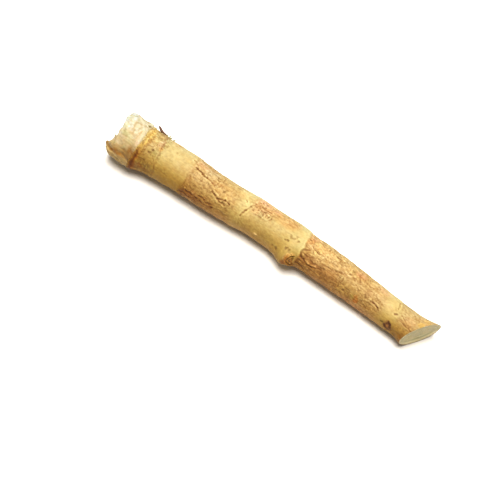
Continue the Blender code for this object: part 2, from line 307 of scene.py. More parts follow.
# Cracks: width and depth in mm, darkness, and their line as x and degrees.
CRACKS = (
    (0.6, 0.5, 0.45, -74.6, 63, -71.7, 66, -68.8, 75, -67.7, 82),
    (0.75, 0.8, 0.9, -69.5, 82, -64.6, 82, -60.6, 86, -57, 87),
    (0.65, 0.5, 0.6, -58, 87, -55.8, 87, -51.1, 92, -48.7, 93),
    (0.8, 0.8, 0.9, -48.5, 111, -45.4, 115, -42.4, 120, -39.3, 119, -36.1, 115),
    (0.7, 0.6, 0.75, -36.1, 115, -33.8, 115, -31.6, 119),
    (0.8, 0.6, 0.8, -42.4, 121, -39.5, 126, -36.2, 125, -34.8, 127),
    (0.8, 0.6, 0.8, -74.2, 177, -72, 169, -69.5, 167, -66.6, 170, -63.6, 173),
    (0.8, 0.7, 0.9, -67.1, 155, -63.9, 155, -60.9, 156, -57, 156),
    (0.7, 0.5, 0.75, -56.3, 144, -53.2, 144, -51, 147, -48.9, 151, -46.5, 149, -44.8, 148),
    (0.8, 0.6, 0.8, -54, 159, -50.3, 163, -45.4, 159, -42.8, 155),
    (0.8, 0.5, 0.8, -61, 180, -57.9, 180, -54.7, 180),
    (0.6, 0.3, 0.4, -62.6, 115, -58.6, 113, -54.7, 116),
    (0.6, 0.4, 0.5, -46.8, 52, -45.7, 74, -45.5, 87, -46.5, 95),
    (0.75, 0.6, 1, -20.2, 131, -19.8, 122, -19.3, 116, -18.5, 108),
    (0.65, 0.3, 0.6, -18.5, 107, -17.6, 97, -17.1, 90), (0.6, 0.2, 0.3, -16.9, 86, -16.4, 74),
    (0.5, 0.4, 0.5, -23, 79, -21.3, 86), (0.6, 0.3, 0.5, -6, 84, -5.7, 97),
    (0.6, 0.3, 0.5, -3.6, 88, -3.9, 97), (0.6, 0.3, 0.45, -1.2, 87, -1.8, 95),
    (0.6, 0.3, 0.4, 1.2, 86, 0.4, 96), (0.6, 0.2, 0.25, -12.4, 107, -9, 103, -5, 106, -1, 104),
    (0.6, 0.2, 0.24, -100.8, 67, -100.3, 86, -99.1, 97), (0.6, 0.2, 0.16, -98.6, 103, -98, 122),
    (0.6, 0.2, 0.24, -98.1, 136, -97.6, 148, -94.8, 149),
    (0.6, 0.2, 0.16, -95.5, 142, -90.2, 146, -85.6, 149),
    (0.6, 0.2, 0.22, -70.7, 83, -69.9, 98, -71.8, 111, -70.3, 120, -71.3, 147),
    (0.7, 0.3, 0.6, -37.8, 97, -34.4, 97), (0.9, 0.5, 0.9, -94, 28, -92, 30, -90.4, 29),
    (0.8, 0.4, 0.7, -64, 29, -62, 30, -60, 29), (0.6, 0.3, 0.4, -14, 84, -10, 82, -7, 84),
    (0.6, 0.3, 0.4, -15, 75, -14.4, 84), (0.6, 0.3, 0.35, -11, 70, -6, 74, -2, 72),
    (0.6, 0.3, 0.35, -20, 140, -19.6, 152, -19, 165), (0.6, 0.35, 0.5, 114, 56, 115.1, 71, 115.6, 83),
    (1, 0.5, 0.75, 115.4, 106, 116.8, 101),
    (0.8, 0.8, 0.95, 96.2, 121, 98.8, 120, 100.9, 121, 102.3, 124),
    (0.6, 0.5, 0.7, 102.3, 124, 103.8, 130), (0.6, 0.4, 0.5, 120.3, 94, 122.5, 100, 125.5, 106),
    (0.6, 0.4, 0.55, 123.3, 115, 126.9, 116, 129.9, 116, 132.8, 119),
    (0.8, 0.6, 0.55, 37.9, 101, 35, 108, 33.6, 116, 33.6, 123, 34.8, 133),
    (0.7, 0.4, 0.5, 35, 119, 37.2, 122, 39.4, 123),
    (0.9, 0.8, 0.8, 34.8, 134, 37.7, 137, 39.8, 143, 42.7, 146, 45.7, 145, 48.1, 140),
    (0.9, 0.8, 0.85, 32.5, 163, 34.7, 162, 37.6, 164, 39.5, 171, 40.7, 178),
    (0.7, 0.5, 0.45, 38.4, 85, 40, 90, 42.3, 93, 44.6, 94, 46.8, 94),
    (0.6, 0.4, 0.6, 70.1, 113, 70.6, 119, 70.2, 126), (0.6, 0.4, 0.5, 69.4, 138, 69.8, 146),
    (0.6, 0.4, 0.45, 78.7, 66, 79.6, 80, 80.3, 76, 82.8, 98),
    (0.7, 0.4, 0.4, 51.4, 114, 55.8, 114, 60.2, 112, 64.6, 105, 69, 104),
    (0.6, 0.4, 0.45, 60, 72, 66, 76, 70, 82), (0.6, 0.4, 0.4, 53, 62, 58, 66, 64, 64),
)

# Raised pale lips of bark: width and height in mm, strength and line.
LIPS = (
    (0.9, 0.35, 0.7, 41, 138, 43.5, 141, 46, 139, 48, 135),
    (0.9, 0.35, 0.5, -68, 145, -62.7, 147, -57.5, 146), (0.8, 0.2, 0.25, -71, 56, -70.4, 75, -70.8, 92),
    (0.8, 0.2, 0.3, -69.6, 118, -68.8, 130, -69.3, 142, -68.6, 152),
    (0.9, 0.4, 0.3, -5.4, 158, -2.8, 158), (0.8, 0.2, 0.3, 96.5, 117, 100, 116, 103, 119),
    (0.8, 0.2, 0.3, -47.5, 107, -44, 111, -41, 115), (0.8, 0.3, 0.6, -38.5, 122, -37, 121, -35, 122),
    (0.8, 0.2, 0.4, 37, 88, 39, 94, 36.5, 100), (0.7, 0.2, 0.4, 36, 152, 40, 152, 44, 158),
    (0.7, 0.2, 0.4, 62, 96, 68, 98, 74, 94), (0.7, 0.2, 0.3, 58, 104, 64, 100, 69, 99),
)

# Dents and dark spots: x, degrees, radius and depth in mm, darkness.
SPOTS = (
    (-106, 115, 1.1, 0.6, 1), (-104.1, 105, 1.1, 0.6, 1), (-103.8, 119, 1, 0.4, 0.6),
    (-106.9, 139, 1.1, 0.4, 0.7), (15.4, 153, 1.3, 0.4, 0.7), (11.6, 153, 1.1, 0.3, 0.6),
    (18.3, 117, 0.8, 0.3, 0.55), (20.7, 114, 0.9, 0.4, 0.7), (22.6, 134, 1.1, 0.4, 0.8),
    (25.4, 134, 1.2, 0.4, 0.7), (24, 131, 0.7, 0.2, 0.3), (27.6, 100, 1.1, 0.4, 0.7),
    (21.9, 103, 1.1, 0.3, 0.45), (23.6, 100, 1.1, 0.2, 0.4), (25.4, 91, 1.2, 0.2, 0.4),
    (20.7, 97, 1.1, 0.2, 0.4), (-17.2, 92, 1, 0.4, 0.6), (-14.4, 98, 1.1, 0.4, 0.6),
    (-9.5, 97, 1, 0.3, 0.4), (-6.2, 81, 0.9, 0.3, 0.3), (-1.4, 88, 0.9, 0.2, 0.2),
    (72.9, 90, 1.2, 0.4, 0.8), (73.9, 70, 1.3, 0.4, 0.7), (-113.3, 58, 1, 0.2, 0.5),
    (34, 70, 1.2, 0.4, 0.6), (-50.7, 64, 1, 0.3, 0.6), (-40.1, 94, 1.2, 0.3, 0.7),
    (-38.7, 88, 1, 0.3, 0.6), (-46.2, 102, 1, 0.3, 0.4), (-44.6, 106, 1, 0.3, 0.4),
    (-59.8, 86, 1.2, 0.4, 0.6), (-36.6, 122, 1.4, 0.4, 0.8), (118.6, 116, 0.9, 0.2, 0.3),
    (-88, 75, 1, 0.2, 0.2), (-78, 118, 1.2, 0.1, 0.2),
)

# Cracks and patches of the far side and the underside. The steps that spread the cracks are
# shares of a rough stretch and of the far side.
FAR_SIDE = (188, 392)
FAR_CRACKS = 64
FAR_STEP_ALONG = 0.618
FAR_STEP_ROUND = 0.7549
CROSSWISE_EVERY = 7
FAR_PATCHES = 30
FAR_STRENGTH = 0.45
FAR_COLOURS = ((176, 142, 98), (150, 112, 62), (168, 128, 84), (142, 106, 56), (178, 158, 112))
ROUGH_STRETCHES = ((-74, -37), (34, 66), (66, 96), (118, 136))

# The floor, the light and the camera, at the photograph's viewing angle, in metres.
FLOOR_COLOUR = (0.72, 0.698, 0.662, 1)
SKY_COLOUR = (1, 0.92, 0.8, 1)
SKY_STRENGTH = 0.47
KEY_PLACE = (0.03, 0.09, 1.2)
KEY_SIZE = 0.8
KEY_POWER = 33.5
AZIMUTH = math.radians(36.4)
ELEVATION = math.radians(65)
CAMERA_PLACE = (0.2198, -0.3191, 0.812)
LENS = 85


def smooth_step(t):
    t = np.clip(t, 0, 1)
    return 3 * t**2 - 2 * t**3


def rise(value, low, high):
    """A smooth rise from 0 at low to 1 at high, which may be the lower one."""
    return smooth_step((value - low) / (high - low))


def bell(gap, width):
    return np.exp(-((gap / width) ** 2))


def facing(angle, degrees, low, high):
    """A rise as the cosine of the angle to that way goes from low to high."""
    return rise(np.cos(angle - math.radians(degrees)), low, high)


def wrap(degrees):
    return np.mod(degrees + 180, 360) - 180


def follow(stations, x, column):
    """A column's value at x, on a smooth cubic through the stations."""
    table = np.array(stations)
    at, value = table[:, 0], table[:, column]
    around = np.arange(len(at))
    before, after = np.maximum(around - 1, 0), np.minimum(around + 1, len(at) - 1)
    slope = (value[after] - value[before]) / (at[after] - at[before])
    here = np.clip(np.searchsorted(at, x, side="right") - 1, 0, len(at) - 2)
    span = at[here + 1] - at[here]
    t = (x - at[here]) / span
    lean = slope[here] * (t**3 - 2 * t**2 + t) + slope[here + 1] * (t**3 - t**2)
    return value[here] + (value[here + 1] - value[here]) * smooth_step(t) + lean * span


def perlin(x, y, z):
    """Smooth noise, about -1 to 1, at each point."""
    x, y, z = np.broadcast_arrays(x, y, z)
    points = np.stack([x.ravel(), y.ravel(), z.ravel()], axis=1).tolist()
    return np.array([noise.noise(p) for p in points]).reshape(x.shape)


def ring_noise(angle, size, third):
    return perlin(np.cos(angle) * size, np.sin(angle) * size, third)


def on_surface(x, angle, along, across, seed, octaves=1):
    """Noise whose grain on the root is that long along it and that wide round it, in mm."""
    y, z = MEAN_RADIUS * np.cos(angle) / across, MEAN_RADIUS * np.sin(angle) / across
    parts = [2**octave for octave in range(octaves)]
    return sum(perlin(x / along * p + 3 * seed, y * p + seed, z * p - seed) / p for p in parts)


def bend(angle):
    return BEND * ((1 + np.cos(angle - FRONT)) / 2) ** 1.5


def ring_gap(ring, along, angle):
    """Distance in mm past an old leaf scar."""
    at, lean = RINGS[ring][:2]
    y, z = RING_WANDERS_ROUND * np.cos(angle), RING_WANDERS_ROUND * np.sin(angle)
    return along - at - lean * np.sin(angle - FRONT) - RING_WANDER * perlin(at, y, z)


def ring_height(along, angle):
    height = 0
    for ring, (_, _, tall, before, after) in enumerate(RINGS):
        gap = ring_gap(ring, along, angle)
        height = height + tall * bell(gap, np.where(gap < 0, before, after))
    return height


def lump_height(x, angle, radius):
    y, z = radius * np.cos(angle), radius * np.sin(angle)
    return sum(tall * perlin(x / length, y / length, z / length) for length, tall in LUMPS)


def mound_height(x, angle, radius):
    height = 0
    for middle, degrees, tall, before, after, width in MOUNDS:
        aside = np.radians(wrap(np.degrees(angle) - degrees)) * radius
        length = bell(x - middle, np.where(x < middle, before, after))
        height = height + tall * length * bell(aside, width)
    return height


def turned(along):
    """How far a ring is turned to meet the slanted cut, 1 at the cut."""
    return smooth_step((along - CUT_END + CUT_BLEND) / CUT_BLEND)


def body_x_and_radius(along, angle):
    share = turned(along)
    flare = FLARE * np.exp((along - CUT_END) / FLARE_LENGTH)
    slant = (follow(SPINE, CUT_END, 3) + FLARE) * np.cos(angle) * math.tan(CUT_TURN)
    x = along + (1 - share) * bend(angle) + share * slant
    radius = follow(SPINE, x, 3) + flare
    radius = radius + ring_height(x - bend(angle), angle) + lump_height(x, angle, radius)
    return x, radius + mound_height(x, angle, radius)


def round_spine(x, angle, radius):
    y = follow(SPINE, x, 1) + radius * np.cos(angle)
    return y, follow(SPINE, x, 2) + radius * np.sin(angle)


def body_points(along, angle, x, radius):
    """Points in mm at that radius, with the rings turned to meet the slanted cut."""
    share = turned(along)
    y, z = round_spine(x, angle, radius)
    aside = (y - follow(SPINE, CUT_END, 1)) * math.tan(CUT_TURN)
    above = (z - follow(SPINE, CUT_END, 2)) * math.tan(CUT_LEAN)
    x = along + (1 - share) * bend(angle) + share * (aside - above)
    return np.stack([x, y, np.maximum(z, 0)], axis=-1)


def blend(tone, colour, share):
    return tone + (np.array(colour) - tone) * np.clip(share, 0, 1)[..., None]


def shaded(tone, share, change=1):
    """The tone changed by that share of the change in red, green and blue."""
    return tone * (1 + share[..., None] * change)


def zone_tone(zones, at):
    places = [place for place, _ in zones]
    channels = [np.interp(at, places, [colour[c] for _, colour in zones]) for c in range(3)]
    return np.stack(channels, axis=-1)


def line_gap(x, degrees, line):
    """Distance in mm from a line, which is the x and degrees of its points."""
    gap = np.full(x.shape, 1e3)
    points = list(zip(line[::2], line[1::2]))
    for (x0, from_degrees), (x1, to_degrees) in zip(points, points[1:]):
        across = MM_PER_DEGREE * wrap(degrees - from_degrees)
        run, climb = x1 - x0, MM_PER_DEGREE * (to_degrees - from_degrees)
        share = np.clip(((x - x0) * run + across * climb) / (run**2 + climb**2), 0, 1)
        gap = np.minimum(gap, np.hypot(x - x0 - run * share, across - climb * share))
    return gap


def in_patch(x, degrees, at, middle, half_length, half_width):
    """1 inside a rounded patch of the bark, falling to 0 over its border."""
    across = MM_PER_DEGREE * wrap(degrees - middle)
    return rise(np.hypot((x - at) / half_length, across / half_width), 1.25, 0.6)


def smoothed(grid, reach):
    """The mean over a window of the grid, which goes on round the root."""
    size = 2 * reach + 1
    around = sum(np.roll(grid, shift, axis=1) for shift in range(-reach, reach + 1))
    padded = np.pad(around, ((reach, reach), (0, 0)), mode="edge")
    return sum(padded[row : row + len(grid)] for row in range(size)) / size**2


def far_cracks():
    draw = random.Random(5)
    for index in range(FAR_CRACKS):
        start, end = ROUGH_STRETCHES[index % len(ROUGH_STRETCHES)]
        x = start + (end - start) * ((index * FAR_STEP_ALONG + draw.uniform(0, 0.1)) % 1)
        degrees = FAR_SIDE[0] + (FAR_SIDE[1] - FAR_SIDE[0]) * (index * FAR_STEP_ROUND % 1)
        step, climb = (draw.uniform(1.6, 3.2), 4) if index % CROSSWISE_EVERY else (0.5, 7)
        line = [x, degrees]
        for _ in range(draw.randint(1, 3)):
            x, degrees = x + step, degrees + draw.uniform(-climb, climb)
            line += [x, degrees]
        yield draw.uniform(0.55, 0.75), draw.uniform(0.3, 0.6), draw.uniform(0.3, 0.6), *line


def far_patches():
    draw = random.Random(8)
    for _ in range(FAR_PATCHES):
        x, degrees = draw.uniform(-100, 128), draw.uniform(*FAR_SIDE)
        half_length, half_width = draw.uniform(3, 9), draw.uniform(2, 5)
        yield x, degrees, half_length, half_width, draw.choice(FAR_COLOURS), FAR_STRENGTH


class Bark:
    """Relief in mm and colour at places on the root, laid on in layers."""

    def __init__(self, x, angle):
        self.x, self.angle, self.degrees = x, angle, np.degrees(angle)
        self.grain = self.noise(3.2, 1.9, 83, 2)
        self.mottle = self.noise(11, 7, 89, 2)
        self.patchy = rise(self.noise(2.2, 1.8, 97, 2), -0.45, 0.3)

        # The same places moved by noise, for borders that wander.
        self.warp_x = x + self.noise(5, 5, 11, 2)
        self.warp_degrees = self.degrees + 4 * self.noise(5, 5, 23, 2)
        self.near_x = x + 0.45 * self.noise(2.5, 2.5, 31)
        self.near_degrees = self.degrees + 2 * self.noise(2.5, 2.5, 37)
        self.mark_x = self.near_x + 0.35 * self.noise(1.3, 1.3, 33)
        self.mark_degrees = self.near_degrees + 1.6 * self.noise(1.3, 1.3, 39)
        self.ringwise = self.warp_x - bend(angle)

        self.rough = np.interp(self.ringwise, *zip(*ROUGHNESS))
        for *where, rough in ROUGH_PATCHES:
            self.rough = np.maximum(self.rough, rough * self.in_patch(*where))
        self.height = np.zeros(x.shape)
        self.tone = zone_tone(ZONES, self.ringwise)

    def noise(self, along, across, seed, octaves=1):
        return on_surface(self.x, self.angle, along, across, seed, octaves)

    def near_noise(self, along, across, seed, octaves=1):
        return on_surface(self.near_x, self.angle, along, across, seed, octaves)

    def in_patch(self, *where):
        return in_patch(self.warp_x, self.warp_degrees, *where)

    def lay(self, share, colour, strength=1, tall=0):
        """Blends a colour in and raises the bark by tall mm, where the share is 1."""
        self.height = self.height + tall * share
        self.tone = blend(self.tone, colour, strength * share)

    def shade(self, share, change):
        self.tone = shaded(self.tone, share, change)


def lay_patches(bark):
    for *where, colour, strength in (*PATCHES, *far_patches()):
        bark.lay(bark.in_patch(*where), colour, strength)
    cloud = bark.noise(16, 9, 91, 2)
    bark.lay(rise(cloud, 0.05, 0.6) * bark.rough, (150, 120, 80), 0.35)
    bark.lay(rise(cloud, -0.1, -0.6) * bark.rough, (172, 150, 108), 0.5)


def lay_flakes(bark):
    """Lengthwise wrinkles, and flakes that end in a pale edge over a brown line."""
    wrinkle = on_surface(bark.warp_x, bark.angle, 8, 2.8, 41, 3)
    bark.height += bark.rough * 0.13 * wrinkle
    bark.shade(bark.rough * 0.06 * np.clip(wrinkle, -1, 1), RICHER)
    flake = on_surface(bark.warp_x, bark.angle, 7, 4.5, 53, 3)
    edge = rise(flake, -0.02, 0.1) * bark.rough
    bark.height += 0.2 * edge
    bark.lay(edge * rise(flake, 0.4, 0.1), PALE, 0.2)
    bark.lay(bell(flake + 0.05, 0.06) * bark.rough, BROWN, 0.3)


def lay_crackle(bark):
    """A net of fine cracks, short ticks and raised threads."""
    lengthwise = bell(bark.near_noise(4.5, 1.9, 61, 2), 0.08) * rise(bark.noise(5, 4, 67), -0.1, 0.25)
    bark.lay(lengthwise * bark.rough, BROWN, 0.3, -0.2)
    crosswise = bell(bark.near_noise(2.2, 6, 71, 2), 0.09) * rise(bark.noise(5, 5, 79), 0, 0.3)
    bark.lay(crosswise * bark.rough, BROWN, 0.45, -0.24)
    tick = rise(bark.near_noise(1.6, 2.6, 73), 0.22, 0.5) * rise(bark.noise(9, 7, 77), -0.15, 0.35)
    bark.lay(tick * bark.rough, BROWN, 0.55, -0.16)
    thread = rise(bark.near_noise(3.4, 1.4, 75), 0.22, 0.5)
    bark.lay(thread * bark.rough, PALE, 0.42, 0.14)


def lay_grain(bark):
    bark.height += (0.045 + 0.07 * bark.rough) * bark.grain
    bark.shade((0.035 + 0.06 * bark.rough) * bark.grain, RICHER)
    bark.lay(rise(bark.mottle, 0.05, 0.7) * (0.25 + 0.7 * bark.rough), (154, 119, 70), 0.4)
    bark.lay(rise(bark.mottle, -0.05, -0.7), (170, 148, 102), 0.4)


def lay_ring_lines(bark):
    for ring, (past, deep, dark) in enumerate(RING_LINES):
        gap = ring_gap(ring, bark.near_x - bend(bark.angle), bark.angle)
        line = bell(gap - past + 0.8 * bark.grain, 0.9)
        # Past the knot's step the line is strongest where painted shade falls under the step.
        if ring == KNOT_RING:
            line = line * (0.25 + 0.75 * bell(wrap(bark.near_degrees - KNOT_STEP_SHADE_DEGREES), 24))
        bark.height -= deep * line
        bark.lay(line * rise(bark.mottle + bark.grain, -0.3, 0.5), BROWN, dark)


def lay_marks(bark):
    for width, depth, darkness, *line in (*CRACKS, *far_cracks()):
        gap = line_gap(bark.mark_x, bark.mark_degrees, line)
        bark.height += 0.25 * depth * bell(gap - 1.8 * width, width)
        share = bell(gap, 0.7 * width) * (0.25 + 0.75 * bark.patchy)
        bark.lay(share, DARK, 0.9 * darkness, -0.65 * depth)
    for width, tall, strength, *line in LIPS:
        share = bell(line_gap(bark.mark_x, bark.mark_degrees, line), width)
        bark.lay(share * (0.4 + 0.6 * bark.patchy), LIP, strength, tall)
    for x, degrees, size, depth, darkness in SPOTS:
        across = MM_PER_DEGREE * wrap(bark.mark_degrees - degrees)
        gap = np.hypot((bark.mark_x - x) / 1.3, across) + 0.45 * bark.grain
        bark.lay(rise(gap, 1.15 * size, 0.35 * size), SPOT, 0.62 * darkness, -0.6 * depth)


def lay_crown_crease(bark):
    gap = ring_gap(0, bark.mark_x - bend(bark.angle), bark.angle)
    low = facing(bark.angle, 200, 0, 0.5)
    yellow = bell(gap - 1.7 + 1.1 * bark.grain, 1.7) * (0.6 + 0.4 * bark.patchy)
    bark.lay(yellow * (1 - low), (177, 152, 82), 0.8)
    bark.lay(bell(gap - 4.6 + bark.grain, 1.2) * bark.patchy * (1 - low), (140, 108, 52), 0.6)
    # On the low side the collar's crease is dark reddish brown: brown bark with painted shade in the
    # gap under the leaf bases.
    bark.lay(bell(gap - 1.9 + 0.9 * bark.grain, 1.9) * low, (146, 98, 28), 0.85)
    bark.lay(bell(gap - 1.4 + 0.6 * bark.grain, 0.9) * low, (110, 68, 12), 0.8)


def paint_side_light_and_shade(bark):
    """Browner bark with painted shade on the low side, painted light on top and on the upper side, a
    painted floor reflection at the very bottom, painted shade in hollows.
    """
    # Browner bark on the low side, with painted shade there too.
    low_brown_and_shade_share = np.interp(bark.ringwise, *zip(*LOW_BROWN_AND_SHADE_SHARES))
    bark.shade(facing(bark.angle, LOW_DEGREES, -0.45, 0.75) * low_brown_and_shade_share, LOW_SIDE_BROWN_AND_SHADE)
    # Painted reflection of the white floor at the very bottom of the bark.
    floor_reflection_share = facing(bark.angle, LOW_DEGREES, 0.55, 0.95) * np.clip(1.15 - low_brown_and_shade_share, 0, 1)
    bark.shade(floor_reflection_share, PAINTED_FLOOR_REFLECTION)
    # Painted light on the upper side and on the rough top.
    bark.shade(facing(bark.angle, UPPER_DEGREES, 0.6, 1), PAINTED_UPPER_LIGHT)
    bark.shade(bell(wrap(bark.degrees - TOP_DEGREES), 34) * bark.rough, PAINTED_TOP_LIGHT)
    # Painted shade in hollows, and a little painted light on ridges.
    bark.shade(np.clip(smoothed(bark.height, 3) - bark.height, -0.2, 0.5), PAINTED_HOLLOW_SHADE)


def add_object(name, data):
    thing = bpy.data.objects.new(name, data)
    bpy.context.scene.collection.objects.link(thing)
    return thing


def add_camera():
    camera = add_object("camera", bpy.data.cameras.new("camera"))
    camera.data.lens = LENS
    camera.location = CAMERA_PLACE
    camera.rotation_euler = (math.pi / 2 - ELEVATION, 0, AZIMUTH)
    bpy.context.scene.camera = camera


def add_key_light():
    lamp = bpy.data.lights.new("key", "AREA")
    lamp.shape = "DISK"
    lamp.size = KEY_SIZE
    lamp.energy = KEY_POWER
    light = add_object("key", lamp)
    light.location = KEY_PLACE
    light.rotation_euler = (-Vector(KEY_PLACE)).to_track_quat("-Z", "Y").to_euler()


def add_floor():
    mesh = bpy.data.meshes.new("floor")
    mesh.from_pydata([(-4, -4, 0), (4, -4, 0), (4, 4, 0), (-4, 4, 0)], [], [(0, 1, 2, 3)])
    floor = add_object("floor", mesh)
    white = bpy.data.materials.new("white floor")
    white.use_nodes = True
    looks = {"Base Color": FLOOR_COLOUR, "Roughness": 1, "Specular IOR Level": 0}
    fill(white.node_tree.nodes["Principled BSDF"], looks)
    mesh.materials.append(white)
    floor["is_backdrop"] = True


def add_surroundings():
    world = bpy.data.worlds.new("studio")
    world.use_nodes = True
    fill(world.node_tree.nodes["Background"], {"Color": SKY_COLOUR, "Strength": SKY_STRENGTH})
    bpy.context.scene.world = world
    bpy.context.scene.view_settings.view_transform = "Standard"
    bpy.context.scene.view_settings.gamma = 0.8


def fill(node, inputs):
    """Links or sets each of a node's inputs, by name or number."""
    for key, value in inputs.items():
        if isinstance(value, bpy.types.NodeSocket):
            node.id_data.links.new(value, node.inputs[key])
        else:
            node.inputs[key].default_value = value


class Nodes:
    """A new material, and short calls that add its nodes."""

    def __init__(self, name):
        self.material = bpy.data.materials.new(name)
        self.material.use_nodes = True
        self.nodes = self.material.node_tree.nodes

    def add(self, kind, inputs, output):
        node = self.nodes.new("ShaderNode" + kind)
        fill(node, inputs)
        return node.outputs[output]

    def maths(self, operation, *values, kind="Math", output="Value"):
        result = self.add(kind, dict(enumerate(values)), output)
        result.node.operation = operation
        return result

    def vectors(self, operation, *values):
        return self.maths(operation, *values, kind="VectorMath", output="Vector")

    def spread(self, *values):
        """A value spread from one range, the next two, over another."""
        return self.add("MapRange", dict(enumerate(values)), "Result")

    def attribute(self, name, output):
        attribute = self.add("Attribute", {}, output)
        attribute.node.attribute_name = name
        return attribute

    def noise(self, spot, stretch, per_metre, detail, output="Fac"):
        spot = self.vectors("MULTIPLY", spot, (1 / stretch, 1, 1))
        return self.add("TexNoise", {"Vector": spot, "Scale": per_metre, "Detail": detail}, output)

    def cracks(self, spot, stretch, per_metre, width):
        """1 on the lines between cells stretched along the root, falling to 0 beside them."""
        spot = self.vectors("MULTIPLY", spot, (1 / stretch, 1, 1))
        gap = self.add("TexVoronoi", {"Vector": spot, "Scale": per_metre}, "Distance")
        gap.node.feature = "DISTANCE_TO_EDGE"
        return self.spread(gap, 0, width, 1, 0)


def tone_material(name, gloss, speckle, streak, bump_mm, subsurface=0):
    """The points' colours with specks, streaks, rust and fine cracks."""
    nodes = Nodes(name)
    maths, vectors, spread = nodes.maths, nodes.vectors, nodes.spread
    tone, rough = nodes.attribute("tone", "Color"), nodes.attribute("rough", "Fac")
    place = nodes.add("TexCoord", {}, "Object")
    specks = nodes.noise(place, 1.6, 800, 4)
    streaks = nodes.noise(place, 9, 1500, 3)
    patches = nodes.noise(place, 1.5, 260, 2)
    rust = nodes.noise(place, 2.2, 330, 3)

    warped = vectors("MULTIPLY_ADD", nodes.noise(place, 1, 450, 2, "Color"), (0.0022,) * 3, place)
    cracks = 0
    for stretch, per_metre, width, *broken in (
        (3.2, 330, 0.1, patches, 0.42, 0.56, 0, 1),
        (0.55, 260, 0.07, patches, 0.5, 0.38, 0, 1),
        (1.5, 560, 0.13, specks, 0.42, 0.6, 0, 0.75),
    ):
        net = nodes.cracks(warped, stretch, per_metre, width)
        cracks = maths("MAXIMUM", cracks, maths("MULTIPLY", net, spread(*broken)))
    cracks = maths("MULTIPLY", cracks, rough)

    varied = maths("MULTIPLY", maths("SUBTRACT", specks, 0.5), 5 * speckle)
    varied = maths("MULTIPLY_ADD", maths("SUBTRACT", streaks, 0.5), 5 * streak, varied)
    shade = maths("MULTIPLY_ADD", varied, spread(rough, 0, 1, 0.55, 1), 1)
    colour = vectors("MULTIPLY", tone, shade)
    for share, change in ((spread(rust, 0.45, 0.75, 0, 1), RUSTY), (cracks, CRACKED)):
        darker = vectors("MULTIPLY_ADD", share, change, (1, 1, 1))
        colour = vectors("MULTIPLY", colour, darker)

    relief = maths("SUBTRACT", maths("ADD", specks, streaks), cracks)
    bump = {"Strength": 0.7, "Distance": bump_mm * MM, "Height": relief}
    looks = {
        "Base Color": colour,
        "Roughness": spread(patches, 0.3, 0.7, gloss - 0.12, gloss + 0.12),
        "Normal": nodes.add("Bump", bump, "Normal"),
        "Specular IOR Level": 0.3,
        "Subsurface Weight": subsurface,
        "Subsurface Radius": (1, 0.7, 0.4),
        "Subsurface Scale": 2 * MM,
    }
    fill(nodes.nodes["Principled BSDF"], looks)
    return nodes.material


def linear(colour):
    """sRGB values from 0 to 255 as linear ones from 0 to 1."""
    c = np.clip(colour / 255, 0, 1)
    return np.where(c <= 0.04045, c / 12.92, ((c + 0.055) / 1.055) ** 2.4)


def new_piece(name, points, faces, material, tone):
    """An object from points in mm, each with its colour, that rides on the root."""
    mesh = bpy.data.meshes.new(name)
    mesh.from_pydata((points.reshape(-1, 3) * MM).tolist(), [], faces)
    shape = bmesh.new()
    shape.from_mesh(mesh)
    bmesh.ops.recalc_face_normals(shape, faces=shape.faces)
    shape.to_mesh(mesh)
    shape.free()
    mesh.shade_smooth()
    layer = mesh.color_attributes.new("tone", "FLOAT_COLOR", "POINT")
    rgba = np.ones((len(mesh.vertices), 4), np.float32)
    rgba[:, :3] = linear(tone.reshape(-1, 3))
    layer.data.foreach_set("color", rgba.ravel())
    mesh.materials.append(material)
    piece = add_object(name, mesh)
    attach(piece, "root")
    return piece


def tube_faces(rows, columns):
    """Quads of a grid of rows that closes round its columns."""
    r = np.arange(rows - 1)[:, None] * columns
    c = np.arange(columns)[None, :]
    n = (c + 1) % columns
    quads = np.stack([r + c, r + c + columns, r + n + columns, r + n], axis=-1)
    return quads.reshape(-1, 4).tolist()


def plate_faces(rows, columns):
    """Faces of a thin plate, whose rows go over its outside and back over its inside."""
    faces = tube_faces(rows, 2 * columns)
    for start in (0, (rows - 1) * 2 * columns):
        for c in range(columns - 1):
            back = start + 2 * columns - 1 - c
            faces.append((start + c, start + c + 1, back - 1, back))
    return faces


def plate_grid(rows, columns):
    """Share of the length, share of the breadth from -1 to 1, and 1 outside or -1 inside."""
    breadth = np.linspace(-1, 1, columns)
    breadth = np.concatenate([breadth, breadth[::-1]])
    length, breadth = np.meshgrid(np.linspace(0, 1, rows), breadth, indexing="ij")
    side = np.broadcast_to(np.repeat([1, -1], columns), length.shape)
    return length, breadth, side


def filled(rim, shares):
    """Rings of points from a rim, at 1, to its middle, at 0."""
    middle = rim.mean(axis=0)
    return middle + (rim[None] - middle) * shares[:, None, None]


def make_skin(material):
    """The bark, and the points round its ends."""
    hidden = np.linspace(CROWN_END, SKIN_START, HIDDEN_ROWS, endpoint=False)
    rows = np.concatenate([hidden, np.linspace(SKIN_START, CUT_END, ROWS)])
    along, angle = np.meshgrid(rows, np.arange(COLUMNS) * 2 * np.pi / COLUMNS, indexing="ij")
    x, radius = body_x_and_radius(along, angle)
    bark = Bark(x, angle)
    for lay in (lay_patches, lay_flakes, lay_crackle, lay_grain, lay_ring_lines, lay_marks):
        lay(bark)
    lay_crown_crease(bark)
    paint_side_light_and_shade(bark)
    radius = radius + bark.height * rise(along, SKIN_START - 2, SKIN_START)
    points = body_points(along, angle, x, radius)
    skin = new_piece("skin", points, tube_faces(*along.shape), material, bark.tone)
    skin.data.attributes.new("rough", "FLOAT", "POINT").data.foreach_set("value", bark.rough.ravel())
    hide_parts(NODE)
    return points[0], points[-1]


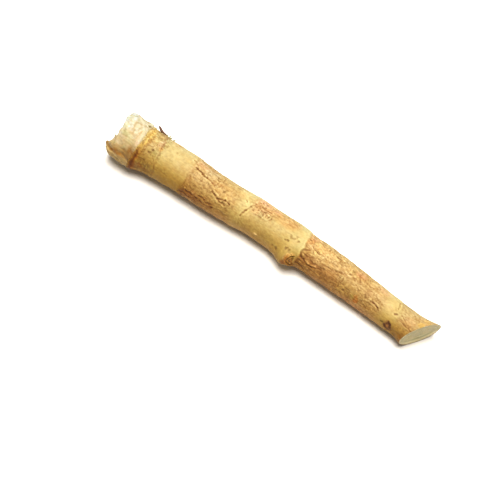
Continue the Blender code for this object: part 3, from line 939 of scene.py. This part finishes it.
def crown_tone(x, angle):
    near_x = x + 1.1 * on_surface(x, angle, 4, 4, 131, 2)
    near_degrees = np.degrees(angle) + 4.5 * on_surface(x, angle, 4, 4, 137, 2)
    streak = on_surface(near_x, angle, 14, 1.5, 139, 3)
    fleck = on_surface(x, angle, 2, 1.4, 141, 2)
    tone = shaded(zone_tone(CROWN_ZONES, near_x), 0.1 * streak + 0.16 * fleck, (0.7, 1, 1.5))
    tone = blend(tone, (174, 168, 144), 0.8 * rise(on_surface(x, angle, 6, 3, 149, 2), 0, 0.5))
    tone = blend(tone, (160, 138, 96), 0.35 * rise(on_surface(x, angle, 5, 3.5, 151, 2), 0, 0.6))
    # Painted shade, tan, on the leaf bases towards 150 degrees.
    tone = blend(tone, (162, 140, 100), 0.7 * facing(angle, 150, 0.4, 0.95))
    tone = blend(tone, (148, 146, 100), 0.4 * rise(on_surface(x, angle, 6, 4, 157, 2), 0.2, 0.7))
    tone = blend(tone, (156, 131, 80), 0.85 * facing(angle, 200, 0.3, 0.8))
    for *where, colour, share in CROWN_PATCHES:
        tone = blend(tone, colour, share * in_patch(near_x, near_degrees, *where))
    patchy = 0.4 + 0.6 * rise(on_surface(x, angle, 3, 3, 163, 2), -0.4, 0.3)
    # The creases' brown, with painted shade darkening them.
    for width, _, darkness, colour, *line in CROWN_CREASES:
        share = bell(line_gap(near_x, near_degrees, line), width)
        tone = blend(tone, colour, darkness * share * patchy)
    # Painted highlight along the raised edges where they catch the light.
    for width, _, strength, *line in CROWN_LIPS:
        share = bell(line_gap(near_x, near_degrees, line), width)
        tone = blend(tone, (192, 170, 122), strength * share)
    return tone


def leaf_root(angle):
    ragged = 0.8 * on_surface(angle * 0, angle, 3, 2.5, 107, 2)
    return LEAF_ROOT - ring_gap(0, 0, angle) + ragged


def leaf_end(index, breadth, angle):
    """How much further on than its middle a leaf base ends."""
    draw = random.Random(index)
    ragged = [draw.uniform(-LEAF_RAGGED, LEAF_RAGGED) for _ in range(LEAF_TEARS + 1)]
    torn = np.interp(breadth, np.linspace(-1, 1, LEAF_TEARS + 1), ragged)
    torn = torn + 0.5 * on_surface(breadth * 0, angle, 3, 1.2, 7 * index, 2)
    for tip_leaf, degrees, half_width, longer in LEAF_TIPS:
        if tip_leaf == index:
            torn = torn - longer * bell(np.degrees(angle) - degrees, half_width)
    return torn


def crease_relief(x, angle):
    near_x = x + 0.6 * on_surface(x, angle, 3, 3, 107)
    near_degrees = np.degrees(angle) + 3 * on_surface(x, angle, 3, 3, 109)
    relief = 0
    for width, depth, _, _, *line in CROWN_CREASES:
        relief = relief - depth * bell(line_gap(near_x, near_degrees, line), width)
    for width, tall, _, *line in CROWN_LIPS:
        relief = relief + tall * bell(line_gap(near_x, near_degrees, line), width)
    return relief


def make_leaf(index, material):
    middle, half_angle, end, skew, out, thickness = LEAVES[index]
    length, breadth, side = plate_grid(LEAF_ROWS, LEAF_COLUMNS)
    outside = side > 0
    angle = np.radians(middle + half_angle * breadth)
    root = leaf_root(angle)
    end = end + skew * breadth + CROWN_LEAN * np.cos(angle - FRONT)
    along = root + (end + leaf_end(index, breadth, angle) * length - root) * length
    x = along + bend(angle)

    ripple = LEAF_RIPPLE * np.sin(RIPPLES_ACROSS * breadth + RIPPLES_ALONG * length + index)
    height = out + ripple - LEAF_DROPS * breadth**2
    thick = thickness * (1 - LEAF_THINS * breadth**2)
    rounding = 0.45 * rise(length, 0.95, 1) + 0.5 * rise(np.abs(breadth), 0.93, 1)
    relief = 0.19 * on_surface(x, angle, 16, 1.8, 101, 3) + 0.22 * on_surface(x, angle, 6, 5, 103, 2)
    relief = relief + 0.12 * on_surface(x, angle, 2.2, 1.6, 105, 2)
    if index not in INNER_LEAVES:
        height = height + TOP_BULGE * bell(wrap(np.degrees(angle) - TOP_BULGE_DEGREES), 26)
        relief = relief + crease_relief(x, angle)
    inside = -thick * (1 - 0.5 * rounding) - LEAF_SUNK * (1 - length)
    height = height + np.where(outside, relief - 0.5 * thick * rounding, inside)
    radius = follow(CROWN_ROUND, along, 1) + height
    z = np.maximum(CROWN_Z + radius * np.sin(angle), 0)
    points = np.stack([x, CROWN_Y + radius * np.cos(angle), z], axis=-1)

    tone = crown_tone(x, angle)
    tone = np.where(outside[..., None], tone, tone * INSIDE_TINT)
    tone = blend(tone, (158, 128, 78), 0.7 * rise(length, 0.975, 1) * outside)
    tone = blend(tone, (176, 152, 88), 0.5 * rise(length, 0.08, 0) * outside)
    faces = plate_faces(LEAF_ROWS, LEAF_COLUMNS)
    leaf = new_piece(f"leaf_base_{index + 1}", points, faces, material, tone)


def make_heart(rim, material):
    """Cut leaf stalks, packed ring in ring round the growing tip."""
    shares = np.linspace(1, 0, HEART_ROWS)
    points = filled(rim, shares)
    y, z = points[..., 1], points[..., 2]
    off, angle = np.hypot(y - HEART_Y, z - HEART_Z), np.arctan2(z - HEART_Z, y - HEART_Y)
    wander = off + 1.3 * ring_noise(angle, 1.5, off / 6)
    ring = np.sin(wander * 2 * np.pi / HEART_RING)
    grain = perlin(y / 0.9, z / 0.9, 0)
    relief = 0.9 * np.maximum(ring, -0.3) + 1.4 * bell(off, 6) + 0.15 * grain
    points[..., 0] -= relief * rise(shares[:, None], 1, 0.85)
    tone = blend((172, 162, 128), (134, 112, 66), 0.5 * rise(ring, -0.2, -0.9))
    tone = blend(tone, (158, 158, 112), 0.4 * bell(off, 5))
    tone = shaded(tone, 0.08 * grain)
    heart = new_piece("crown_heart", points, tube_faces(*off.shape), material, tone)


def make_cut_face(rim, material):
    shares = np.linspace(1, 0, CUT_ROWS) ** 0.8
    points = filled(rim, shares)
    middle = rim.mean(axis=0)
    y, z = points[..., 1], points[..., 2]
    angle = np.arctan2(z - middle[2], y - middle[1])
    under = facing(angle, -80, 0, 0.8)
    depth = (1 - shares[:, None]) * np.linalg.norm(rim - middle, axis=-1)
    depth = depth + 0.25 * ring_noise(angle, 2, 3)
    depth = depth / (1 + 2.1 * under)

    grain = perlin(y / 0.7, z / 0.7, 7)
    rays = ring_noise(angle, 9, depth / 9)
    knife = perlin(y * 0.15 + z * 1.1, 2, z * 0.06)
    relief = 0.1 * grain + 0.08 * knife - 0.16 * bell(depth - 2, 0.4) + 0.08 * rays
    points[..., 0] += np.where(depth > 0.4, relief, 0) * rise(shares[:, None], 1, 0.96)

    tone = blend((166, 157, 124), (174, 162, 124), rise(perlin(y / 5, z / 5, 9), -0.3, 0.4))
    tone = shaded(tone, 0.05 * grain + 0.05 * rays + 0.03 * knife)
    for ring, width, strength, colour in CUT_RINGS:
        tone = blend(tone, colour, strength * (0.35 + 0.65 * under) * bell(depth - ring, width))
    tone = blend(tone, (134, 100, 54), 0.8 * rise(depth, 0.35, 0))
    face = new_piece("cut_face", points, tube_faces(*y.shape), material, tone)


def stub_axes():
    """The middle of the stub's cut, and the ways forwards, aside and up from there."""
    x, degrees, reach = STUB_PLACE
    outwards = np.array((0, math.cos(STUB_ANGLE), math.sin(STUB_ANGLE)))
    forwards = outwards * math.cos(STUB_LEAN) + np.array((math.sin(STUB_LEAN), 0, 0))
    aside = np.cross(forwards, (0, 0, 1))
    aside /= np.linalg.norm(aside)
    tip = x, *round_spine(STUB_X, math.radians(degrees), reach)
    return tip, np.stack([forwards, aside, np.cross(aside, forwards)])


def make_stub(material):
    """The stump of a side root: a short cone with a ringed, dried cut."""
    tip, axes = stub_axes()
    cap_shares = np.linspace(0, 1, STUB_CAP_ROWS + 1)[1:]
    down = np.concatenate([np.linspace(1, 0, STUB_WALL_ROWS), np.zeros(STUB_CAP_ROWS)])[:, None]
    inwards = np.concatenate([np.zeros(STUB_WALL_ROWS), cap_shares])[:, None]
    turn = np.arange(STUB_COLUMNS)[None, :] * 2 * np.pi / STUB_COLUMNS
    bumps = ring_noise(turn, 1.6, down * 3)
    rim = bell(down + inwards, 0.05)
    radius = STUB_TIP + (STUB_BASE - STUB_TIP) * down + 0.5 * bumps
    radius = radius * (1 - inwards) - 0.35 * rim

    off = STUB_TIP * (1 - inwards)
    rings = off + 1.1 * ring_noise(turn, 1.2, 5)
    rings = rings + 0.5 * ring_noise(turn, 3.5, off / 1.5)
    dome = 0.35 * bell(rings - 3, 0.5) - 0.7 * bell(rings - 3.9, 0.6) - 0.5 * bell(rings - 2.2, 0.5)
    cap = np.broadcast_to(inwards > 0, rings.shape)
    lift = np.where(cap, dome, 0) - STUB_LENGTH * down - 0.4 * rim
    reaches = np.stack([lift, radius * np.cos(turn), radius * np.sin(turn)], axis=-1)
    points = tip + reaches @ axes
    grain = perlin(*np.moveaxis(points / 1.3, -1, 0))
    points = points + axes[0] * (0.15 * grain)[..., None]
    points[..., 2] = np.maximum(points[..., 2], 0)

    patchy = rise(perlin(*np.moveaxis(points / 2, -1, 0)), -0.4, 0.3)
    # Painted shade on the stub's right side, on its wall and on its cut.
    right = facing(turn, 205, 0.2, 0.85)
    low_left = 0.25 + 0.75 * facing(turn, 0, -0.1, 0.7)
    wall = blend((160, 136, 84), (140, 94, 36), 0.95 * rise(down, 0.6, 0.05) * low_left)
    wall = blend(wall, (98, 62, 22), 0.85 * rise(down, 0.7, 0.02) * right)
    pale_ring = bell(rings - 2.8, 0.5) * rise(patchy, 0.3, 0.8)
    face = blend((150, 112, 56), (186, 150, 100), 0.8 * pale_ring)
    creases = 0.65 * bell(rings - 3.8, 0.8) + 0.65 * bell(rings - 1.6, 0.7)
    face = blend(face, (108, 68, 20), creases * (0.35 + 0.65 * patchy))
    # Painted shade along the cut's far edge.
    far_side_shade = rise(points[..., 0], tip[0] - 0.6, tip[0] + 2.2)
    face = blend(face, (100, 60, 16), 0.85 * np.maximum(far_side_shade, right * (off > 3.4)))
    face = blend(face, (112, 96, 34), 0.5 * facing(turn, 140, 0.2, 0.9) * (off > 2))
    tone = shaded(np.where(cap[..., None], face, wall), 0.24 * grain)
    stub = new_piece("side_root_stub", points, tube_faces(*rings.shape), material, tone)


def make_scale(material):
    length, breadth, side = plate_grid(SCALE_ROWS, SCALE_COLUMNS)
    x = SCALE_ROOT + (SCALE_TIP - SCALE_ROOT) * length
    narrow = 1 - SCALE_NARROWS * length
    angle = np.radians(SCALE_ANGLE + SCALE_HALF_ANGLE * breadth * narrow)
    low_lift = (SCALE_SUNK + SCALE_LOW) * rise(length, 0.05, 0.4)
    curl = (SCALE_LIFT - SCALE_LOW) * np.clip((length - 0.6) / 0.4, 0, 1) ** 1.2
    blunt = np.sqrt(np.clip(1.02 - length**8, 0, 1))
    thick = (1 + SCALE_THICKNESS * rise(length, 0.3, 0.8)) * (1 - 0.5 * breadth**2) * blunt
    ruffle = 0.12 * perlin(x / 1.5, breadth * 1.5, 3) * length + 0.5 * breadth**2 * length
    radius = follow(SPINE, x, 3) - SCALE_SUNK + low_lift + curl + side * thick / 2 + ruffle
    points = np.stack([x, *round_spine(x, angle, radius)], axis=-1)
    grain = perlin(x / 2.5, breadth * 2, side)
    tone = blend((96, 70, 56), (112, 92, 72), rise(length, 0.5, 0.1))
    tone = blend(tone, (104, 100, 92), 0.5 * rise(grain, 0, 0.6))
    tone = shaded(tone, 0.1 * grain)
    scale = new_piece("dry_scale", points, plate_faces(SCALE_ROWS, SCALE_COLUMNS), material, tone)


def shred_points(x, degrees, tall, lean, thick):
    angle = math.radians(degrees)
    start = np.array((x, *round_spine(x, angle, follow(SPINE, x, 3) - SHRED_SUNK)))
    outwards = np.array((0, math.cos(angle), math.sin(angle)))
    forwards = np.array((1, 0, 0))
    aside = np.cross(outwards, forwards)
    share = np.linspace(0, 1, SHRED_ROWS)[:, None, None]
    turn = (np.arange(SHRED_COLUMNS) * 2 * np.pi / SHRED_COLUMNS)[None, :, None]
    path = start + outwards * (share * (tall + SHRED_SUNK)) + forwards * (lean * share**2)
    path = path + aside * (0.3 * np.sin(share * 4 + x))
    girth = thick * np.sqrt(np.clip(1.03 - share, 0, 1))
    path = path + girth * (np.cos(turn) * aside + 1.6 * np.sin(turn) * forwards)
    return path.reshape(-1, 3)


def make_shreds(material):
    points = np.concatenate([shred_points(*where) for *where, _ in SHREDS])
    size = SHRED_ROWS * SHRED_COLUMNS
    quads = np.array(tube_faces(SHRED_ROWS, SHRED_COLUMNS))
    faces = np.concatenate([quads + size * shred for shred in range(len(SHREDS))]).tolist()
    tone = np.repeat([colour for *_, colour in SHREDS], size, axis=0)
    shreds = new_piece("bark_shreds", points, faces, material, tone)


add_camera()
add_floor()
add_surroundings()
add_key_light()
skin_material = tone_material("root skin", 0.68, 0.14, 0.1, 0.3)
leaf_material = tone_material("leaf base", 0.56, 0.16, 0.2, 0.2, 0.08)
flesh_material = tone_material("cut flesh", 0.45, 0.1, 0.02, 0.1, 0.12)
dry_material = tone_material("dry scale", 0.8, 0.2, 0.08, 0.2)
crown_rim, cut_rim = make_skin(skin_material)
for leaf in range(len(LEAVES)):
    make_leaf(leaf, leaf_material)
make_heart(crown_rim, leaf_material)
make_cut_face(cut_rim, flesh_material)
make_stub(skin_material)
make_scale(dry_material)
make_shreds(dry_material)

boxes = {"cad": CAD_BOX, "visual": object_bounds()}
{name: [list(corner) for corner in box] for name, box in boxes.items()}
